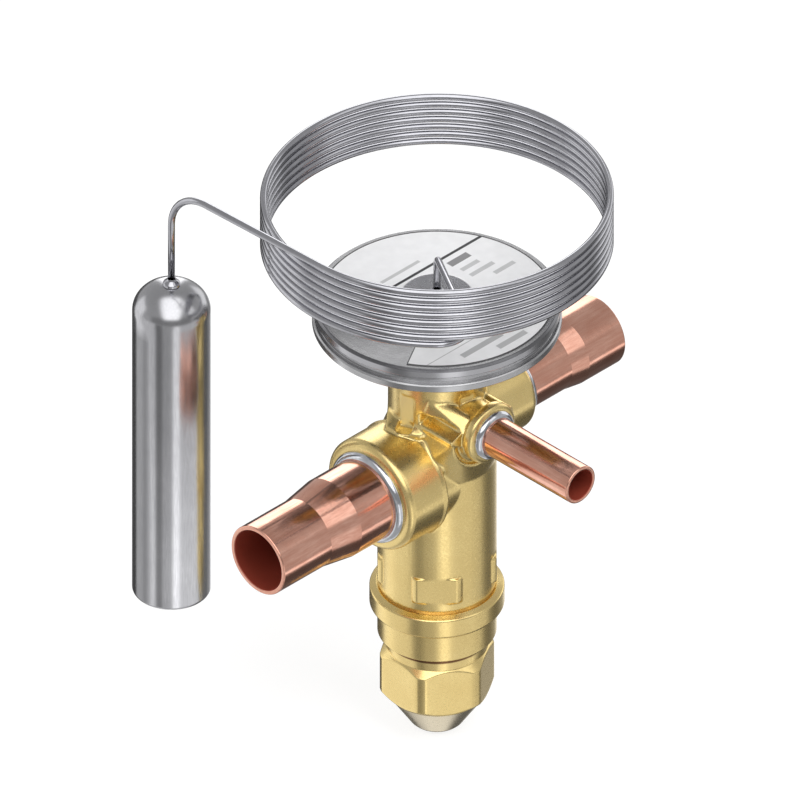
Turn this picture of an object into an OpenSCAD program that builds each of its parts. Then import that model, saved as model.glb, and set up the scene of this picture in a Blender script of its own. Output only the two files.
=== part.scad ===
// Thermostatic expansion valve with remote bulb and coiled capillary.
// Origin: centre of the inlet socket's mouth. Flow runs along +X, the equaliser points to -Y,
// the diaphragm head is on top. Millimetres.

/* [Inlet connection] */
// Inside diameter of the inlet socket
inlet_socket_d = 12.8; // [12:0.1:13.4]
// Outside diameter of the inlet tube's thin end
inlet_end_d = 14.7; // [14.2:0.1:15.2]
// Depth of the inlet socket
inlet_socket_depth = 13; // [10:0.5:15]
// Outside diameter of the inlet tube beside the body
inlet_root_d = 16.9; // [16.4:0.1:17.4]
// Wall of the inlet tube beside the body
inlet_root_wall = 1; // [0.8:0.1:1.2]
// Distance from the inlet mouth to the valve axis
inlet_reach = 49.2; // [47:0.2:54]
// Length of the swaged cone in the inlet tube
inlet_cone_length = 7.2; // [5:0.2:9]

/* [Outlet connection] */
// Inside diameter of the outlet socket
outlet_socket_d = 12.8; // [12:0.1:13.4]
// Outside diameter of the outlet tube's end
outlet_end_d = 14.7; // [14.2:0.1:15.2]
// Depth of the outlet socket
outlet_socket_depth = 9.9; // [8:0.1:11]
// Outside diameter of the outlet tube beside the body
outlet_root_d = 13.5; // [12.8:0.1:14]
// Distance from the outlet mouth to the valve axis
outlet_reach = 44.5; // [42:0.5:50]
// Length of the swaged cone in the outlet tube
outlet_cone_length = 4.2; // [3:0.1:6]
// Height of the outlet axis above the inlet axis
outlet_height = 8.2; // [7.8:0.1:8.6]

/* [Equaliser connection] */
// Inside diameter of the equaliser socket
equaliser_socket_d = 6.4; // [6:0.1:6.8]
// Outside diameter of the equaliser tube
equaliser_tube_d = 8; // [7.6:0.1:8.4]
// Depth of the equaliser socket
equaliser_socket_depth = 9; // [7:0.5:12]
// Distance from the equaliser mouth to the valve axis
equaliser_reach = 39.5; // [37:0.5:45]
// Height of the equaliser axis above the inlet axis
equaliser_height = 13.1; // [12.8:0.1:13.4]

/* [Body] */
// Diameter of the turned barrel
barrel_d = 23.2; // [22.6:0.1:24]
// Depth of the barrel's lower face below the inlet axis
barrel_depth = 28.9; // [28:0.1:31]
// Diameter of the inlet boss
inlet_boss_d = 23.6; // [23:0.1:24.6]
// Distance from the valve axis to the inlet boss face
inlet_boss_reach = 18.8; // [18:0.1:20]
// Distance from the valve axis to the back of the inlet boss
inlet_boss_back = 8.5; // [7.5:0.1:9.5]
// Diameter of the outlet boss
outlet_boss_d = 18.2; // [17.8:0.1:18.8]
// Distance from the valve axis to the outlet boss face
outlet_boss_reach = 18.9; // [18:0.1:20]
// Diameter of the equaliser boss
equaliser_boss_d = 12.8; // [12:0.1:13.4]
// Distance from the valve axis to the equaliser boss face
equaliser_boss_reach = 15.5; // [15:0.1:16.5]
// Diameter of the neck below the head
neck_d = 19.1; // [18.6:0.1:19.6]
// Size of the neck across its flats
neck_flats = 17.3; // [17:0.1:17.8]
// Depth of each tube in its boss
tube_seat = 8; // [6:0.5:8.5]
// Width of a wrench pad on the barrel
pad_width = 8.2; // [7:0.2:9]
// Height of a wrench pad
pad_height = 5.6; // [4.5:0.1:6.5]
// Distance from the barrel's lower face up to the pads
pad_rise = 2.2; // [1.5:0.1:3]

/* [Flow parts] */
// Diameter of the inlet and outlet passages
passage_d = 10; // [9:0.2:10.4]
// Diameter of the spring chamber
chamber_d = 13; // [12.8:0.1:14]
// Diameter of the orifice
orifice_d = 4.4; // [4:0.1:5]
// Outside diameter of the orifice seat
seat_d = 8.4; // [8:0.1:8.8]
// Diameter of the push rod
rod_d = 3.2; // [3:0.1:3.4]
// Full lift of the valve cone
valve_lift = 0.8; // [0.5:0.1:1]

/* [Head] */
// Diameter of the head, across the lower cover's rim
head_d = 48.6; // [48:0.2:50]
// Depth of the groove round the welded seam between the covers
seam_depth = 1; // [0.7:0.1:1.4]
// Height of the head's lower face above the inlet axis
head_height = 32.3; // [32:0.1:34]
// Thickness of the lower cover's rim
lower_rim_thickness = 1.8; // [1.5:0.1:2.2]
// Thickness of the upper cover's rim
upper_rim_thickness = 2.1; // [1.8:0.1:2.6]
// Height of the seam between the rims
seam_height = 1.4; // [1.2:0.1:1.8]
// Thickness of the diaphragm
diaphragm_thickness = 0.2; // [0.15:0.05:0.3]
// Diameter of the disc in the middle of the upper cover
centre_disc_d = 14.2; // [13:0.2:16]
// Height of the disc in the middle of the upper cover
centre_disc_height = 1.3; // [1:0.1:1.6]
// Width of the bare edge round the label
label_edge = 1.3; // [1:0.1:2.2]

/* [Capillary and bulb] */
// Outside diameter of the capillary tube
capillary_d = 1.4; // [1.2:0.1:1.5]
// Diameter of the coil, measured on the tube's centre line
coil_d = 67.4; // [64:0.2:72]
// Rise of the coil in each turn
coil_pitch = 1.74; // [1.7:0.02:2]
// Height of the coil's first turn above the inlet axis
coil_height = 50.6; // [50:0.1:53]
// Diameter of the bulb
bulb_d = 15.34; // [14:0.1:16]
// Length of the bulb's straight barrel
bulb_barrel = 66.3; // [55:0.5:70]
// Height of the bulb's domed end
bulb_dome = 6.15; // [5:0.1:7]
// Height of the top of the bulb's barrel above the inlet axis
bulb_height = 33.7; // [32:0.1:36]
// Distance from the valve axis to the bulb, along -X
bulb_left = 35.1; // [33:0.1:37]
// Distance from the valve axis to the bulb, along +Y
bulb_back = 37.8; // [36:0.1:40]

/* [Setting parts] */
// Diameter of the setting housing's collar
collar_d = 26.3; // [26:0.1:27.4]
// Height of the setting housing's collar
collar_height = 5; // [4:0.1:6]
// Height of the ring below the collar
ring_height = 6.3; // [5.5:0.1:7]
// Thickness of the two sealing washers
washer_thickness = 0.4; // [0.3:0.05:0.5]
// Diameter of the setting spindle's thread
spindle_d = 4; // [3.6:0.1:4.4]
// Pitch of the setting spindle's thread
spindle_pitch = 0.8; // [0.6:0.1:1]
// Length of the superheat spring
spring_length = 13.5; // [12:0.1:14]
// Wire diameter of the superheat spring
spring_wire = 1.3; // [1:0.1:1.5]
// Mean diameter of the superheat spring
spring_d = 9.2; // [8.8:0.1:9.6]

/* [Seal cap] */
// Size of the seal cap across its flats
cap_flats = 20.4; // [20:0.1:21]
// Diameter to which the cap's corners are turned
cap_corner_d = 22.6; // [22:0.1:23]
// Diameter of the cap's neck
cap_neck_d = 19.8; // [19.4:0.1:20]
// Height of the cap's neck
cap_neck_height = 2.9; // [2.4:0.1:3.4]
// Height of the cap's hexagon
cap_hex_height = 10.9; // [9.5:0.1:12]
// Height of the cap's conical nose
cap_nose_height = 7.2; // [6:0.1:8]
// Diameter of the nose's flat tip
cap_tip_d = 10.8; // [10:0.1:11.6]
// Diameter of the thread under the cap
cap_thread_d = 16.4; // [16:0.1:16.8]

/* [Hidden] */
$fn = 96;

// Clearances
sliding_gap = 0.05;
thread_gap = 0.05;
end_gap = 0.1;
loose_gap = 0.3;

// Edge forms
big_edge = 1.5;
small_edge = 0.9;
chamfer = 0.6;
through = 0.1;

// Tubes
stop_ledge = 0.4;
stop_length = 1.4;
flow_bead = 1.3;
equaliser_bead = 1.2;

// Body
body_wall = 1.3;
seat_bottom = 1.5;
seat_top = seat_bottom + 3.5;
outlet_chamber_d = 6.8;
outlet_chamber_top = outlet_height + 2.8;
outlet_port_d = 6;
guide_top = 22;
neck_top = head_height - 2.8;
spigot_d = neck_d - 3.1;
spigot_top = neck_top + 1.4;
head_chamber_d = spigot_d - 2;
head_chamber_floor = neck_top - 1.2;
barrel_top = 1.8;
neck_foot = inlet_boss_d / 2 + 0.2;
flats_top = 19.7;
flats_bottom = inlet_boss_d / 2 + 0.4;
neck_flat_turn = 22;
flat_wall = 0.9;
flat_width = 3.2;
foot_lip = 0.8;
foot_rise = 1.2;
foot_end = [[-12.2, 1.9], [-12, -1.4], [-10.5, -3.6], [-9.7, -4.9], [-6, -5], [-6, 5], [-9.5, 4]];
shoulder_drop = (barrel_d - neck_flats) / 2 + foot_lip / 2;
shoulder_rise = neck_foot - barrel_top;
shoulder_r = (shoulder_drop ^ 2 + shoulder_rise ^ 2) / (2 * shoulder_drop);
equaliser_seat = 6;
seal_pocket_d = rod_d + 3.6;
drill_d = 2.4;
drill_offset = seal_pocket_d / 2 + drill_d / 2 + 0.6;
pad_depth = 0.75;
key_width = 2.4;
key_depth = 1.2;
pad_root = barrel_d / 2 - 3;
pad_foot = barrel_d / 2 - pad_depth;
pad_side = pad_width / 2 + pad_depth;
boss_ring = 2.4;
waist_d = equaliser_boss_d - 2.8;
block_reach = equaliser_boss_reach - boss_ring - 0.3;
block_side = equaliser_boss_d / 2 + 2.5;
ledge_height = equaliser_height + 0.9;
block_end = [[-block_side, 0.1], [-block_side, 0.9], [3.2 - block_side, 2.1], [5.7 - block_side, 4.3],
    [0, 4.3], [0, -4], [3.6 - block_side, -1.8]];
saddle_top = [[-8.05, -5.9], [-5.8, -7.65], [-4, -6], [-6, -4]];
saddle_rim = [[-8.3, -5.5], [-7.1, -6.4], [-4, -6], [-6, -4]];
saddle_foot = [[-block_side, -3.4], [-block_side, -4.2], [-8.2, -5.5], [-7.1, -6.4], [-4, -6], [-6, -3]];
rim_height = 16.3;
shoulder_reach = block_reach - 0.1;
shoulder_end = [[-5.7, -shoulder_reach], [-3, -shoulder_reach], [-4, -6], [-7.1, -6.6], [-8.3, -5.4]];
shoulder_crest = [[-3.6, -shoulder_reach], [-3, -shoulder_reach], [-3, 2 - shoulder_reach]];
crest_height = equaliser_height + 2;
slice = 0.2;
pocket_start = 3.9;
pocket_end = [[-block_side - 1, 0.47], [-5.64, 2.07], [-7.1, 3.5], [-block_side - 1, 3.5]];
cradle_r = equaliser_boss_d / 2 + 1.8;
cradle_groove = 0.6;
rib_height = 2.3;
rib_r = 1.4;
back_bead = 0.6;

// Head
upper_rim_d = head_d - 0.4;
seam_d = head_d - 2 * seam_depth;
label_d = upper_rim_d - 2 * label_edge;
seam_bottom = head_height + lower_rim_thickness;
diaphragm_bottom = seam_bottom + (seam_height - diaphragm_thickness) / 2;
diaphragm_top = diaphragm_bottom + diaphragm_thickness;
seam_top = seam_bottom + seam_height;
head_top = seam_top + upper_rim_thickness;
disc_top = head_top + centre_disc_height;
head_cavity_d = seam_d - 11.6;
cover_wall = 0.9;
dish_d = 25;
dish_slope = 3.1;
dish_floor = neck_top + cover_wall;
pad_disc_d = 23;
pad_hub_d = 10;
pad_disc_thickness = 1.2;
wave_height = 0.3;
wave_count = 3;
label_thickness = 0.12;
bare_sector = [150, 210];

// Moving train
cone_gap = 0.3;
cone_d = 6;
rod_nose_d = 2.2;
seat_bevel = 1.2;
cone_tip = seat_bottom + orifice_d / 2 + seat_bevel - cone_gap * sqrt(2) - rod_nose_d / 2;
cone_shoulder = cone_tip - (cone_d - rod_nose_d) / 2;
cone_foot = cone_shoulder - 4;
guide_d = chamber_d - 1.4;
guide_thickness = 1.5;
guide_nose = 3;
spring_top = cone_foot - 4.5;
spring_bottom = spring_top - spring_length;
spring_inside = spring_d - spring_wire;
rod_top = diaphragm_bottom - 1.7;
rod_step = outlet_height + 0.8;
hub_bottom = head_chamber_floor + valve_lift + loose_gap;

// Setting parts
housing_top = -barrel_depth - washer_thickness;
collar_bottom = housing_top - collar_height;
ring_bottom = collar_bottom - ring_height;
cap_top = ring_bottom - washer_thickness;
spigot_in_body_d = chamber_d + 4;
spigot_in_body_height = 4;
housing_spigot_top = housing_top + spigot_in_body_height;
stem_d = spindle_d + 1;
flange_d = stem_d + 3;
flange_height = 1.4;
flange_bottom = housing_spigot_top - 2;
seat_plate_height = 3;
seat_hub_height = 1.5;
seat_travel = 1.5 * spindle_pitch;
key_top = spring_bottom + seat_travel + loose_gap;
slot_depth = 1.2;
slot_width = 1;
gland_d = stem_d + 4.6;
gland_height = 4.6;
o_ring_wire = 1.5;
o_ring_height = collar_bottom + 0.6;
cap_thread_length = 5.4;
thread_bottom = ring_bottom - cap_thread_length;
stem_bottom = thread_bottom - 1.5;

// Seal cap
cap_face_turn = 58.7;
hex_top = cap_top - cap_neck_height;
hex_bottom = hex_top - cap_hex_height;
nose_tip = hex_bottom - cap_nose_height;
corner_drop = 1.4;

// Capillary route
coil_r = coil_d / 2;
coil_turns = 7;
coil_start = 225;
coil_steps = 40;
capillary_sides = 8;
bulb_polar = 180 - atan(bulb_back / bulb_left);
bulb_distance = norm([bulb_left, bulb_back]);
coil_finish = bulb_polar + acos(coil_r / bulb_distance);
coil_sweep = 360 * coil_turns + coil_start - coil_finish;
coil_rings = ceil(coil_steps * coil_sweep / 360);
coil_top = coil_height + coil_pitch * coil_sweep / 360;
entry_bend = 6;
leg_polar = coil_start + asin(entry_bend / (coil_r - entry_bend));
leg_length = sqrt((coil_r - entry_bend) ^ 2 - entry_bend ^ 2);
leg_start_height = coil_height - 3;
riser_bend = 1.6;
bulb_bend = 9;
lead_length = sqrt(bulb_distance ^ 2 - coil_r ^ 2) - bulb_bend;
bulb_top = bulb_height + bulb_dome;
bulb_wall = 0.8;
bulb_foot_edge = 0.8;

// Route of the capillary, from inside the head to inside the bulb
leg_way = [cos(leg_polar), sin(leg_polar), 0];
lead_way = [sin(coil_finish), -cos(coil_finish), 0];
entry_centre = (coil_r - entry_bend) * [cos(coil_start), sin(coil_start), 0];
coil_exit = [coil_r * cos(coil_finish), coil_r * sin(coil_finish), coil_top];
riser_points = [[0, 0, head_top - 1], [0, 0, leg_start_height - riser_bend]];
riser_bend_points = [for (a = [20:20:80])
    riser_bend * (1 - cos(a)) * leg_way + [0, 0, leg_start_height - riser_bend * (1 - sin(a))]];
entry_points = [for (i = [0:8])
    let (a = leg_polar + 90 - i / 8 * (leg_polar + 90 - coil_start))
    entry_centre + [entry_bend * cos(a), entry_bend * sin(a), coil_height]];
coil_points = [for (i = [1:coil_rings])
    let (a = coil_start - coil_sweep * i / coil_rings)
    [coil_r * cos(a), coil_r * sin(a), coil_height + coil_pitch * coil_sweep / 360 * i / coil_rings]];
bulb_bend_points = [for (a = [0:10:90])
    coil_exit + (lead_length + bulb_bend * sin(a)) * lead_way + [0, 0, bulb_bend * (cos(a) - 1)]];
bulb_riser_points = [[-bulb_left, bulb_back, bulb_top - 1]];
capillary_route = concat(riser_points, riser_bend_points, entry_points, coil_points,
    bulb_bend_points, bulb_riser_points);

// Round tube swept along a route
function unit(v) = v / norm(v);
function carried(u, t) = unit(u - (u * t) * t);
function headings(p) = [for (i = [0:len(p) - 1])
    unit(p[min(i + 1, len(p) - 1)] - p[max(i - 1, 0)])];
function sides_of(t) = [for (s = [0, carried([1, 0.3, 0.2], t[0])]; s[0] < len(t);
    s = [s[0] + 1, carried(s[1], t[min(s[0] + 1, len(t) - 1)])]) s[1]];

module swept(route, d, sides) {
    t = headings(route);
    u = sides_of(t);
    last = (len(route) - 1) * sides;
    points = [for (i = [0:len(route) - 1], k = [0:sides - 1])
        route[i] + d / 2 * (cos(360 * k / sides) * u[i] + sin(360 * k / sides) * cross(t[i], u[i]))];
    walls = [for (i = [0:len(route) - 2], k = [0:sides - 1])
        let (a = i * sides + k, b = i * sides + (k + 1) % sides)
        each [[a, a + sides, b + sides], [a, b + sides, b]]];
    start_cap = [for (k = [0:sides - 1]) k];
    end_cap = [for (k = [sides - 1:-1:0]) last + k];
    polyhedron(points, concat(walls, [start_cap, end_cap]));
}

// Places
module at_valve() translate([inlet_reach, 0, 0]) children();
module along_inlet() rotate([0, -90, 0]) children();
module along_outlet() translate([0, 0, outlet_height]) rotate([0, 90, 0]) children();
module along_equaliser() translate([0, 0, equaliser_height]) rotate([90, 0, 0]) children();

// Solid of revolution from an outline of [radius, height] points
module turned(points) rotate_extrude() polygon(points);

// Flat ring between two heights
module ring(outer_d, inner_d, bottom, top) {
    difference() {
        translate([0, 0, bottom]) cylinder(d = outer_d, h = top - bottom);
        translate([0, 0, bottom - through]) cylinder(d = inner_d, h = top - bottom + 2 * through);
    }
}

// Bar with a rounded edge round its far face
module rounded_bar(d, h, r) {
    rotate_extrude() union() {
        square([d / 2, h - r]);
        square([d / 2 - r, h]);
        translate([d / 2 - r, h - r]) circle(r);
    }
}

// Bead of solder round a tube, standing on a face
module braze_bead(tube_d, r) {
    rotate_extrude() translate([tube_d / 2, 0]) intersection() {
        circle(r);
        square(r);
    }
}

// Tube along its own axis from an outline of [distance, outer radius, inner radius]
module drawn_tube(stations) {
    outside = [for (s = stations) [s[1], s[0]]];
    inside = [for (i = [len(stations) - 1:-1:0]) [stations[i][2], stations[i][0]]];
    turned(concat(outside, inside));
}

// Disc with both edges rounded, between two heights
module rounded_disc(d, bottom, top, r) {
    rotate_extrude() union() {
        translate([0, bottom + r]) square([d / 2, top - bottom - 2 * r]);
        translate([0, bottom]) square([d / 2 - r, top - bottom]);
        translate([d / 2 - r, top - r]) circle(r);
        translate([d / 2 - r, bottom + r]) circle(r);
    }
}

// Valve body
module body_barrel() {
    rotate_extrude() union() {
        translate([0, -barrel_depth]) square([barrel_d / 2, barrel_depth + barrel_top]);
        intersection() {
            translate([barrel_d / 2 - shoulder_r, barrel_top]) circle(shoulder_r);
            translate([0, barrel_top - 1]) square([barrel_d / 2, shoulder_rise + 1]);
        }
    }
}

module body_neck() {
    difference() {
        union() {
            cylinder(d = neck_d, h = neck_top);
            hull() {
                translate([0, 0, flats_bottom - foot_lip]) linear_extrude(foot_lip + slice) polygon(foot_end);
                translate([0, 0, flats_bottom + foot_rise]) cylinder(d = neck_d - 0.02, h = slice);
            }
        }
        for (half = [180, 0]) rotate(half) {
            rotate(neck_flat_turn) milled_flat(-1);
            rotate(90 - neck_flat_turn) milled_flat(1);
        }
    }
    cylinder(d = spigot_d, h = spigot_top);
}

// Flat milled into one side of the neck, between two small walls
module milled_flat(side) {
    middle = side * (flat_wall + flat_width / 2);
    translate([neck_flats / 2, middle - flat_width / 2, flats_bottom])
        cube([neck_d, flat_width, flats_top - flats_bottom]);
}

module inlet_boss() {
    along_inlet() {
        rounded_disc(inlet_boss_d, inlet_boss_back, inlet_boss_reach, big_edge);
        cylinder(d = inlet_boss_d - 2, h = inlet_boss_reach - big_edge);
        rotate_extrude() translate([inlet_boss_d / 2 - back_bead / 2, inlet_boss_back + back_bead])
            circle(back_bead);
    }
}

module outlet_boss() {
    along_outlet() rounded_bar(outlet_boss_d, outlet_boss_reach, big_edge);
}

module equaliser_boss() {
    along_equaliser() {
        rounded_disc(equaliser_boss_d, equaliser_boss_reach - boss_ring, equaliser_boss_reach, small_edge);
        cylinder(d = waist_d, h = equaliser_boss_reach - small_edge);
        linear_extrude(block_reach) polygon(block_end);
    }
    hull() {
        translate([0, 0, ledge_height - slice]) linear_extrude(slice) polygon(saddle_foot);
        translate([0, 0, rim_height]) linear_extrude(slice) polygon(saddle_rim);
        translate([0, 0, flats_top - slice]) linear_extrude(2 * slice) polygon(saddle_top);
    }
    hull() {
        translate([0, 0, ledge_height - slice]) linear_extrude(crest_height + slice - ledge_height)
            polygon(shoulder_end);
        translate([0, 0, crest_height + 1.8]) linear_extrude(slice) polygon(shoulder_crest);
        translate([-slice, 0, rim_height - slice]) linear_extrude(slice) polygon(saddle_rim);
        translate([slice, 0, flats_top - 2 * slice]) linear_extrude(2 * slice) polygon(saddle_top);
    }
    translate([equaliser_boss_d / 2 - rib_r, 0, equaliser_height + rib_height]) rotate([90, 0, 0])
        cylinder(r = rib_r, h = equaliser_boss_reach - small_edge);
}

// Forged cradle under the equaliser boss, rising from the edge of the turned barrel
module equaliser_cradle() {
    difference() {
        hull() {
            translate([0, 0, barrel_top - chamfer]) cylinder(d = barrel_d - 0.02, h = chamfer);
            along_equaliser() linear_extrude(block_reach - 0.2) intersection() {
                circle(cradle_r);
                translate([0, -cradle_r]) square(2 * cradle_r, center = true);
            }
        }
        along_equaliser() translate([0, 0, block_reach - 1.2]) difference() {
            cylinder(r = cradle_r - cradle_groove, h = 1.2);
            cylinder(r = cradle_r - 2 * cradle_groove, h = 1.2);
        }
    }
}

// Pocket above the ledge, between the equaliser boss and the neck
module block_pocket() {
    along_equaliser() translate([0, 0, pocket_start])
        linear_extrude(block_reach + 0.15 - pocket_start) polygon(pocket_end);
}

module wrench_pads() {
    for (a = [45:90:315]) rotate(a)
        translate([0, 0, pad_rise - barrel_depth]) linear_extrude(pad_height) polygon([
            [pad_root, -pad_side], [pad_foot, -pad_side], [barrel_d / 2, -pad_width / 2],
            [barrel_d / 2, pad_width / 2], [pad_foot, pad_side], [pad_root, pad_side]]);
}

module body_passages() {
    along_inlet() {
        translate([0, 0, inlet_boss_reach - tube_seat])
            cylinder(d = inlet_root_d, h = tube_seat + through);
        translate([0, 0, seat_d / 2 + body_wall]) cylinder(d = passage_d, h = inlet_boss_reach);
    }
    along_outlet() {
        translate([0, 0, outlet_boss_reach - tube_seat])
            cylinder(d = outlet_root_d, h = tube_seat + through);
        translate([0, 0, seat_d / 2 + 1]) cylinder(d = passage_d, h = outlet_boss_reach);
        cylinder(d = outlet_port_d, h = outlet_boss_reach);
    }
    along_equaliser() {
        translate([0, 0, equaliser_boss_reach - equaliser_seat])
            cylinder(d = equaliser_tube_d, h = equaliser_seat + through);
        translate([0, 0, drill_offset]) cylinder(d = drill_d, h = equaliser_boss_reach - drill_offset);
    }
    translate([0, -drill_offset, equaliser_height])
        cylinder(d = drill_d, h = spigot_top - equaliser_height);
    translate([0, 0, -barrel_depth - through])
        cylinder(d = chamber_d, h = barrel_depth + seat_bottom + through);
    translate([0, 0, -barrel_depth - through])
        cylinder(d = spigot_in_body_d, h = spigot_in_body_height + through + loose_gap);
    cylinder(d = seat_d, h = seat_top);
    cylinder(d = outlet_chamber_d, h = outlet_chamber_top);
    cylinder(d = rod_d + 2 * sliding_gap, h = guide_top + through);
    translate([0, 0, guide_top]) cylinder(d = seal_pocket_d, h = spigot_top);
    translate([0, 0, head_chamber_floor]) cylinder(d = head_chamber_d, h = spigot_top);
    translate([-chamber_d / 2 - key_depth, -key_width / 2, -barrel_depth - through])
        cube([chamber_d + 2 * key_depth, key_width, key_top + barrel_depth + through]);
}

module valve_body() {
    color("goldenrod") at_valve() difference() {
        union() {
            body_barrel();
            body_neck();
            inlet_boss();
            outlet_boss();
            equaliser_boss();
            equaliser_cradle();
            wrench_pads();
        }
        block_pocket();
        body_passages();
    }
}

// Tubes and their brazed joints
module inlet_tube() {
    root = inlet_root_d / 2;
    stop = inlet_reach - inlet_socket_depth;
    end = inlet_end_d / 2;
    stop_bore = inlet_socket_d / 2 - stop_ledge;
    color("peru") at_valve() along_inlet() drawn_tube([
        [inlet_boss_reach - tube_seat, root, root - inlet_root_wall],
        [stop - inlet_cone_length, root, root - inlet_root_wall],
        [stop - stop_length, end + (root - end) * stop_length / inlet_cone_length, stop_bore],
        [stop, end, stop_bore],
        [stop, end, inlet_socket_d / 2],
        [inlet_reach, end, inlet_socket_d / 2]]);
}

module outlet_tube() {
    root = outlet_root_d / 2;
    wall = (outlet_end_d - outlet_socket_d) / 2;
    stop = outlet_reach - outlet_socket_depth;
    color("peru") at_valve() along_outlet() drawn_tube([
        [outlet_boss_reach - tube_seat, root, root - wall],
        [stop - outlet_cone_length, root, root - wall],
        [stop, outlet_end_d / 2, outlet_socket_d / 2],
        [outlet_reach, outlet_end_d / 2, outlet_socket_d / 2]]);
}

module equaliser_tube() {
    stop = equaliser_reach - equaliser_socket_depth;
    stop_bore = equaliser_socket_d / 2 - stop_ledge;
    color("peru") at_valve() along_equaliser() drawn_tube([
        [equaliser_boss_reach - equaliser_seat, equaliser_tube_d / 2, stop_bore],
        [stop, equaliser_tube_d / 2, stop_bore],
        [stop, equaliser_tube_d / 2, equaliser_socket_d / 2],
        [equaliser_reach, equaliser_tube_d / 2, equaliser_socket_d / 2]]);
}

module inlet_braze_ring() {
    color("silver") at_valve() along_inlet() translate([0, 0, inlet_boss_reach])
        braze_bead(inlet_root_d, flow_bead);
}

module outlet_braze_ring() {
    color("silver") at_valve() along_outlet() translate([0, 0, outlet_boss_reach])
        braze_bead(outlet_root_d, flow_bead);
}

module equaliser_braze_ring() {
    color("silver") at_valve() along_equaliser() translate([0, 0, equaliser_boss_reach])
        braze_bead(equaliser_tube_d, equaliser_bead);
}

// Conical strainer basket in the inlet tube
module inlet_strainer() {
    bore = inlet_root_d / 2 - inlet_root_wall;
    root = inlet_boss_reach - tube_seat;
    basket = 12;
    color("khaki") at_valve() along_inlet() translate([0, 0, root]) difference() {
        turned([
            [bore - 1, 0], [bore - sliding_gap, 0], [bore - sliding_gap, 1.5], [bore - 0.6, 1.5],
            [2.4, basket], [0, basket], [0, basket - 0.5], [2, basket - 0.5], [bore - 1, 1.5]]);
        for (row = [0:2], k = [0:3])
            translate([0, 0, 3.8 + 2.6 * row]) rotate(45 * k + 22.5 * (row % 2))
                cube([inlet_root_d, 1.3, 1.6], center = true);
    }
}

// Orifice and valve cone
module orifice_seat() {
    r = orifice_d / 2;
    color("lightgrey") at_valve() turned([
        [r + seat_bevel, seat_bottom], [seat_d / 2, seat_bottom], [seat_d / 2, seat_top],
        [r, seat_top], [r, seat_bottom + seat_bevel]]);
}

module valve_cone() {
    color("lightgrey") at_valve() turned([
        [0, cone_foot], [cone_d / 2, cone_foot], [cone_d / 2, cone_shoulder],
        [rod_nose_d / 2, cone_tip], [0, cone_tip]]);
}

module spring_guide() {
    nose_r = spring_inside / 2 - loose_gap;
    nose_bottom = spring_top - guide_nose;
    color("khaki") at_valve() turned([
        [0, nose_bottom], [nose_r - chamfer, nose_bottom],
        [nose_r, nose_bottom + chamfer], [nose_r, spring_top],
        [guide_d / 2, spring_top], [guide_d / 2, spring_top + guide_thickness],
        [cone_d / 2, spring_top + guide_thickness], [cone_d / 2, cone_foot], [0, cone_foot]]);
}

// Push rod with its seal
module push_rod() {
    color("lightgrey") at_valve() {
        translate([0, 0, cone_tip]) cylinder(d = rod_nose_d, h = rod_step - cone_tip);
        translate([0, 0, rod_step]) cylinder(d = rod_d, h = rod_top - rod_step);
    }
}

module push_rod_seal() {
    color("black") at_valve() ring(seal_pocket_d, rod_d + 2 * sliding_gap, guide_top, guide_top + 3.6);
}

module seal_retainer() {
    color("khaki") at_valve() ring(seal_pocket_d, rod_d + 0.8, guide_top + 3.6, head_chamber_floor);
}

module thrust_pad() {
    disc_bottom = diaphragm_bottom - sliding_gap - pad_disc_thickness;
    color("lightgrey") at_valve() difference() {
        turned([
            [0, hub_bottom], [pad_hub_d / 2 - chamfer, hub_bottom], [pad_hub_d / 2, hub_bottom + chamfer],
            [pad_hub_d / 2, disc_bottom], [pad_disc_d / 2, disc_bottom + 0.4],
            [pad_disc_d / 2, disc_bottom + pad_disc_thickness], [0, disc_bottom + pad_disc_thickness]]);
        translate([0, 0, hub_bottom - through]) cylinder(d = rod_d, h = rod_top - hub_bottom + through);
    }
}

// Diaphragm head
module lower_head_cover() {
    color("silver") at_valve() turned([
        [spigot_d / 2, neck_top], [dish_d / 2, neck_top], [dish_d / 2 + dish_slope, head_height],
        [head_d / 2 - small_edge / 3, head_height], [head_d / 2, head_height + small_edge / 3],
        [head_d / 2, seam_bottom - small_edge / 3], [head_d / 2 - small_edge / 3, seam_bottom],
        [seam_d / 2, seam_bottom], [seam_d / 2, diaphragm_bottom], [head_cavity_d / 2, diaphragm_bottom],
        [dish_d / 2 + dish_slope + 0.2, head_height + cover_wall + 0.1], [dish_d / 2 - 0.3, dish_floor],
        [spigot_d / 2, dish_floor]]);
}

module diaphragm() {
    wave_start = pad_disc_d / 2 + 0.5;
    wave_end = head_cavity_d / 2 - 0.4;
    crest = [for (i = [0:6 * wave_count])
        [wave_start + (wave_end - wave_start) * i / (6 * wave_count), wave_height * sin(360 * i / 6)]];
    under = [for (p = crest) [p[0], p[1] + diaphragm_bottom]];
    over = [for (i = [len(crest) - 1:-1:0]) [crest[i][0], crest[i][1] + diaphragm_top]];
    color("lightgrey") at_valve() turned(concat(
        [[0, diaphragm_bottom]], under, [[seam_d / 2, diaphragm_bottom], [seam_d / 2, diaphragm_top]],
        over, [[0, diaphragm_top]]));
}

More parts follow.
